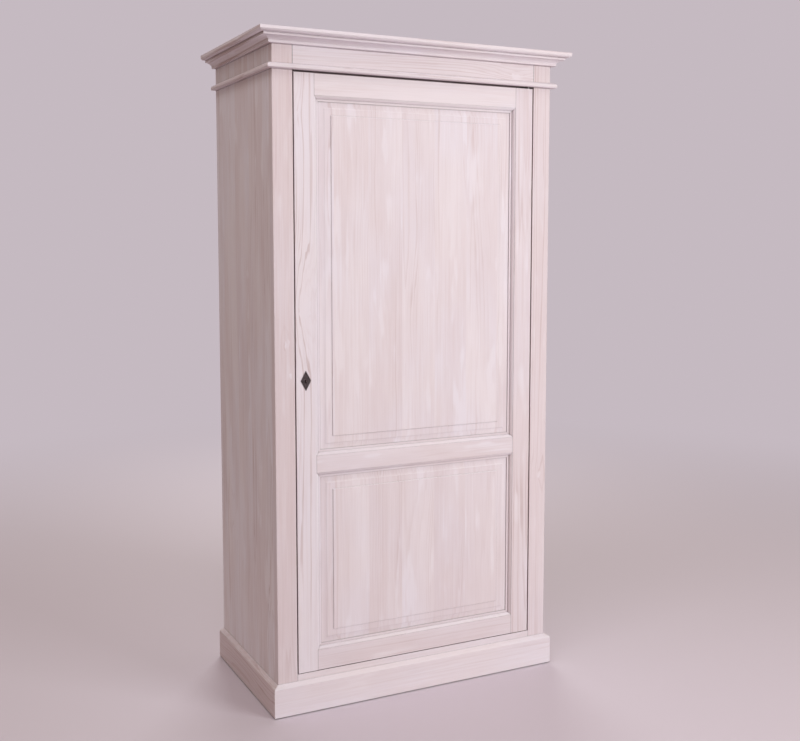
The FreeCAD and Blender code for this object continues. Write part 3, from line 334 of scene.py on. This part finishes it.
def make_pine_group():
    """Limed pine. Place is across, through and along the board from its middle, in metres."""
    tree, given, out = new_group(
        "limed_pine_grain",
        [("Place", "NodeSocketVector"), ("Seed", "NodeSocketFloat"), ("Strip", "NodeSocketFloat"),
         ("Lime", "NodeSocketFloat"), ("Rings", "NodeSocketFloat"), ("Patches", "NodeSocketFloat"),
         ("Pith", "NodeSocketFloat"), ("Shoulder", "NodeSocketFloat"), ("Joint Dirt And Shade", "NodeSocketFloat"),
         ("Knot", "NodeSocketVector"), ("Second Knot", "NodeSocketVector")],
        [("Color", "NodeSocketColor"), ("Roughness", "NodeSocketFloat"), ("Height", "NodeSocketFloat")])
    across, through, along = split(tree, given["Place"])

    # Each glued strip comes from its own part of the log
    strip = calc(tree, "FLOOR", calc(tree, "ADD", calc(tree, "DIVIDE", across, given["Strip"]), 0.5))
    chance = tree.nodes.new("ShaderNodeTexWhiteNoise")
    chance.noise_dimensions = "2D"
    feed(tree, chance.inputs["Vector"], join(tree, strip, given["Seed"], 0.0))
    chances = split(tree, chance.outputs["Color"])
    local = calc(tree, "SUBTRACT", across, calc(tree, "MULTIPLY", strip, given["Strip"]))
    own = vector_calc(tree, "ADD", join(tree, local, through, along),
                      vector_calc(tree, "MULTIPLY", chance.outputs["Color"], LOG_SPREAD))

    # Rings, clear in some places and hidden by lime in others
    inside, near, push = both_knots(tree, across, along, given)
    late = late_wood(tree, (local, through, along), own, chances, push, given["Pith"])
    clear = steps(tree, noise(tree, own, CLEAR_WAVES, 2.0), 0.36, 0.62, 0.15, 1.0)
    clear = calc(tree, "MULTIPLY", calc(tree, "MAXIMUM", clear, near), given["Rings"])
    clear = calc(tree, "MULTIPLY", clear, calc(tree, "SUBTRACT", 1.0, inside))
    late = calc(tree, "MULTIPLY", late, clear, clamp=True)

    # Lime, caught in the knots and, in flecks, on the edges and on faces that look up. The flecks on the
    # edges also paint a highlight, and those on faces that look up paint light from above
    cover, streak = lime_cover(tree, own, given, chances[1])
    cover = calc(tree, "SUBTRACT", cover, calc(tree, "MULTIPLY", late, 0.42))
    fleck = noise(tree, own, FLECK_WAVES, 3.0)
    cover = calc(tree, "ADD", cover, calc(tree, "MULTIPLY", inside, steps(tree, fleck, 0.35, 0.65, 0.0, 0.5)))
    to_shoulder = calc(tree, "SUBTRACT", given["Shoulder"], calc(tree, "ABSOLUTE", along))
    joint = steps(tree, to_shoulder, SHOULDER_LINE * 1.5, SHOULDER_LINE * 0.5)
    tight = steps(tree, crevice_share(tree, CORNER_REACH), 0.07, 0.34)
    flush = calc(tree, "MAXIMUM", tight, joint)
    free_edge = calc(tree, "SUBTRACT", edge_share(tree, EDGE_LIME_AND_HIGHLIGHT), flush, clamp=True)
    # flecks of lime on free edges, which also paint a highlight along them
    caught_lime_and_highlight = calc(tree, "MULTIPLY", free_edge, steps(tree, fleck, 0.42, 0.60, -0.10, 0.46))
    # lime settled on faces that look up, which also paints them lighter as if lit from above
    settled_lime_and_top_light = calc(tree, "MULTIPLY", upward_share(tree), steps(tree, fleck, 0.35, 0.65, 0.2, 0.6))
    cover = calc(tree, "ADD", calc(tree, "ADD", cover, settled_lime_and_top_light), caught_lime_and_highlight, clamp=True)
    wood = mix(tree, late, EARLY_WOOD, LATE_WOOD)
    warm = steps(tree, noise(tree, own, WARM_WAVES, 2.0), 0.35, 0.65)
    colour = mix(tree, cover, wood, mix(tree, warm, COOL_LIME, WARM_LIME))

    # Fine fibres; dirt and painted shade along the joints; painted shade in the corners and deep in the gaps,
    # tinted warm where deepest
    fibre = noise(tree, own, FIBRE_WAVES, 1.0)
    shut = crevice_share(tree, GAP_REACH)
    shade = steps(tree, fibre, 0.2, 0.8, 0.98, 1.015)
    # painted shade in the inner corners
    shade = calc(tree, "MULTIPLY", shade, steps(tree, tight, 0.0, 1.0, 1.0, CORNER_SHADE))
    # dirt and painted shade along the shoulder lines of the joints
    joint_dirt_and_shade = calc(tree, "MULTIPLY", joint, given["Joint Dirt And Shade"])
    shade = calc(tree, "MULTIPLY", shade, calc(tree, "SUBTRACT", 1.0, joint_dirt_and_shade))
    # painted shade deep in the gaps, tinted warm
    for low, high, darkest in ((0.40, 0.80, 0.86), (0.70, 0.94, 0.28)):
        shade = calc(tree, "MULTIPLY", shade, steps(tree, shut, low, high, 1.0, darkest))
    painted_shade_tint = mix(tree, steps(tree, shut, 0.45, 0.85), (1.0, 1.0, 1.0), GAP_SHADE_TINT)
    painted_shade_tint = vector_calc(tree, "MULTIPLY", painted_shade_tint, join(tree, shade, shade, shade))
    colour = vector_calc(tree, "MULTIPLY", colour, painted_shade_tint)
    height = calc(tree, "ADD", calc(tree, "MULTIPLY", late, 0.45), calc(tree, "MULTIPLY", fibre, 0.35))
    height = calc(tree, "ADD", height, calc(tree, "MULTIPLY", streak, 0.5))
    feed(tree, out["Color"], colour)
    feed(tree, out["Roughness"], steps(tree, cover, 0.0, 1.0, 0.48, 0.66))
    feed(tree, out["Height"], height)
    return tree


def pine_material(group, name, middle, seed):
    """Limed pine for one board, with its grain along the last of the board's three axes."""
    material = bpy.data.materials.new("pine_" + name)
    material.use_nodes = True
    tree = material.node_tree
    shader = tree.nodes["Principled BSDF"]
    shader.inputs["Specular IOR Level"].default_value = PINE_GLOSS
    coordinates = tree.nodes.new("ShaderNodeTexCoord").outputs["Object"]
    x, y, z = split(tree, vector_calc(tree, "SUBTRACT", coordinates, middle))
    values = {"X": x, "Y": y, "Z": z}
    grain = tree.nodes.new("ShaderNodeGroup")
    grain.node_tree = group
    feed(tree, grain.inputs["Place"], join(tree, *(values[axis] for axis in board_axes(name))))
    _, lime, rings, patches, pith = next(row for row in FINISHES if name.startswith(row[0]))
    knot, second_knot = (KNOTS.get(name, []) + [NO_KNOT, NO_KNOT])[:2]
    shoulder, joint_dirt_and_shade = next((SHOULDERS[start] for start in SHOULDERS if name.startswith(start)), NO_SHOULDER)
    settings = {"Seed": seed, "Strip": board_strip(name), "Lime": lime, "Rings": rings, "Patches": patches,
                "Pith": pith, "Shoulder": shoulder, "Joint Dirt And Shade": joint_dirt_and_shade,
                "Knot": knot, "Second Knot": second_knot}
    for label, value in settings.items():
        grain.inputs[label].default_value = value
    bump = tree.nodes.new("ShaderNodeBump")
    bump.inputs["Strength"].default_value = 0.6
    bump.inputs["Distance"].default_value = GRAIN_RELIEF
    feed(tree, bump.inputs["Height"], grain.outputs["Height"])
    feed(tree, shader.inputs["Base Color"], grain.outputs["Color"])
    feed(tree, shader.inputs["Roughness"], grain.outputs["Roughness"])
    feed(tree, shader.inputs["Normal"], bump.outputs[0])
    return material


def metal_material(name, dark, light, metallic, roughness, relief):
    """Metal with a mottled colour, rubbed edges and fine unevenness."""
    material = bpy.data.materials.new(name)
    material.use_nodes = True
    tree = material.node_tree
    shader = tree.nodes["Principled BSDF"]
    shader.inputs["Metallic"].default_value = metallic
    place = tree.nodes.new("ShaderNodeTexCoord").outputs["Object"]
    cloud = noise(tree, place, CLOUD_WAVES, 4.0, 0.6)
    grit = noise(tree, place, GRIT_WAVES, 2.0)
    rubbed = calc(tree, "MULTIPLY", edge_share(tree, RUBBED_EDGE), steps(tree, cloud, 0.35, 0.6))
    share = calc(tree, "ADD", steps(tree, cloud, 0.3, 0.75, 0.0, 0.6), rubbed, clamp=True)
    feed(tree, shader.inputs["Base Color"], mix(tree, share, dark, light))
    feed(tree, shader.inputs["Roughness"], steps(tree, cloud, 0.25, 0.75, *roughness))
    bump = tree.nodes.new("ShaderNodeBump")
    bump.inputs["Strength"].default_value = 0.5
    bump.inputs["Distance"].default_value = relief
    feed(tree, bump.inputs["Height"], calc(tree, "ADD", cloud, calc(tree, "MULTIPLY", grit, 0.5)))
    feed(tree, shader.inputs["Normal"], bump.outputs[0])
    return material


def board_axes(name):
    """Which axes lie across, through and along the grain of a board."""
    if name.startswith("side_panel"):
        return "YXZ"
    if "_stile" in name or name.startswith(("door_panel", "back_board")):
        return "XYZ"
    if name.endswith(("_left", "_right")) or "cleat" in name:
        return "ZXY"
    if name.startswith("shelf") or name in ("top_panel", "floor_panel"):
        return "YZX"
    return "ZYX"


def board_strip(name):
    """How wide the glued strips of a board are."""
    if name.startswith("door_panel"):
        return PANEL_STRIP
    if name.startswith("side_panel"):
        return SIDE_STRIP
    if name.startswith("shelf_cleat"):
        return WHOLE_BOARD
    if name.startswith("shelf") or name in ("top_panel", "floor_panel"):
        return SHELF_STRIP
    return WHOLE_BOARD


def soften_edges(thing):
    """Takes the sharpness off a board's edges, so that its joints show as fine lines."""
    weld = thing.modifiers.new("weld", "WELD")
    weld.merge_threshold = WELD_DISTANCE
    bevel = thing.modifiers.new("soft_edges", "BEVEL")
    bevel.width = EDGE_WIDTH
    bevel.segments = 2
    bevel.limit_method = "ANGLE"
    bevel.angle_limit = math.radians(EDGE_ANGLE)
    bevel.harden_normals = True


def set_material(name, material):
    """Puts one material on a CAD node."""
    for slot in nodes[name].material_slots:
        slot.material = material


def finish_boards():
    """Gives each board its own limed pine, and softened edges where no screws pass."""
    group = make_pine_group()
    draw = random.Random(GRAIN_SEED)
    for row in sorted(frame["record"]["subparts"], key=lambda row: row["node"]):
        name = row["node"]
        if row["material_slot"] not in ("limed_pine", "inner_pine"):
            continue
        low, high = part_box(name)
        set_material(name, pine_material(group, name, (low + high) / 2, draw.uniform(0.0, 90.0)))
        if not name.startswith(SCREWED_BOARDS):
            soften_edges(nodes[name])


def finish_fittings():
    """Gives the lock, hinges, screws and keyhole plate their metals."""
    metals = {name: metal_material(name, *look) for name, look in METALS.items()}
    for row in frame["record"]["subparts"]:
        if row["material_slot"] in metals:
            set_material(row["node"], metals[row["material_slot"]])


def background_ray(tree):
    """1 for rays that show the backdrop: from the camera, or by gloss or glass."""
    path = tree.nodes.new("ShaderNodeLightPath").outputs
    seen = calc(tree, "MAXIMUM", path["Is Camera Ray"], path["Is Glossy Ray"])
    return calc(tree, "MAXIMUM", seen, path["Is Transmission Ray"])


def make_world():
    """Even light all round, and a pale backdrop where it is seen."""
    world = bpy.data.worlds.new("studio")
    bpy.context.scene.world = world
    world.use_nodes = True
    tree = world.node_tree
    light = tree.nodes["Background"]
    light.inputs["Color"].default_value = (*ROUND_COLOUR, 1.0)
    light.inputs["Strength"].default_value = ROUND_STRENGTH
    seen = tree.nodes.new("ShaderNodeBackground")
    seen.inputs["Color"].default_value = (*BACKDROP_COLOUR, 1.0)
    choice = tree.nodes.new("ShaderNodeMixShader")
    feed(tree, choice.inputs[0], background_ray(tree))
    feed(tree, choice.inputs[1], light.outputs[0])
    feed(tree, choice.inputs[2], seen.outputs[0])
    feed(tree, tree.nodes["World Output"].inputs["Surface"], choice.outputs[0])


def make_floor():
    """A plain pale floor that runs into the backdrop."""
    mesh = bpy.data.meshes.new("floor")
    corners = [(x * FLOOR_HALF, y * FLOOR_HALF, 0.0) for x, y in ((-1, -1), (1, -1), (1, 1), (-1, 1))]
    mesh.from_pydata(corners, [], [(0, 1, 2, 3)])
    floor = bpy.data.objects.new("floor", mesh)
    bpy.context.scene.collection.objects.link(floor)
    material = bpy.data.materials.new("floor")
    material.use_nodes = True
    mesh.materials.append(material)
    tree = material.node_tree
    shader = tree.nodes["Principled BSDF"]
    shader.inputs["Roughness"].default_value = FLOOR_ROUGHNESS
    shader.inputs["Base Color"].default_value = (*FLOOR_COLOUR, 1.0)
    far = tree.nodes.new("ShaderNodeEmission")
    far.inputs["Color"].default_value = (*BACKDROP_COLOUR, 1.0)
    place = tree.nodes.new("ShaderNodeTexCoord").outputs["Object"]
    distance = vector_calc(tree, "LENGTH", place)
    share = calc(tree, "MULTIPLY", steps(tree, distance, *FLOOR_FADE), background_ray(tree))
    choice = tree.nodes.new("ShaderNodeMixShader")
    feed(tree, choice.inputs[0], share)
    feed(tree, choice.inputs[1], shader.outputs[0])
    feed(tree, choice.inputs[2], far.outputs[0])
    feed(tree, tree.nodes["Material Output"].inputs["Surface"], choice.outputs[0])


def make_lamp(name, place, aim, size, power, colour):
    """A large square soft lamp that points at aim."""
    data = bpy.data.lights.new(name, "AREA")
    data.size = size
    data.energy = power
    data.color = colour
    lamp = bpy.data.objects.new(name, data)
    bpy.context.scene.collection.objects.link(lamp)
    lamp.location = place
    lamp.rotation_euler = (Vector(aim) - Vector(place)).to_track_quat("-Z", "Y").to_euler()


def make_camera():
    """The camera at the photograph's place and angle."""
    data = bpy.data.cameras.new("camera")
    data.sensor_width = SENSOR_WIDTH
    data.lens = FOCAL_PIXELS / PICTURE_WIDTH * SENSOR_WIDTH
    data.shift_y = CAMERA_SHIFT
    camera = bpy.data.objects.new("camera", data)
    bpy.context.scene.collection.objects.link(camera)
    camera.location = CAMERA_PLACE
    camera.rotation_euler = (math.pi / 2 + CAMERA_PITCH, 0.0, -CAMERA_YAW)
    bpy.context.scene.camera = camera


finish_boards()
finish_fittings()
make_world()
make_floor()
make_lamp("key", KEY_PLACE, KEY_AIM, KEY_SIZE, KEY_POWER, KEY_COLOUR)
make_lamp("top", TOP_PLACE, TOP_AIM, TOP_SIZE, TOP_POWER, TOP_COLOUR)
make_lamp("back", BACK_PLACE, BACK_AIM, BACK_SIZE, BACK_POWER, BACK_COLOUR)
make_camera()
bpy.context.scene.view_settings.view_transform = "Standard"
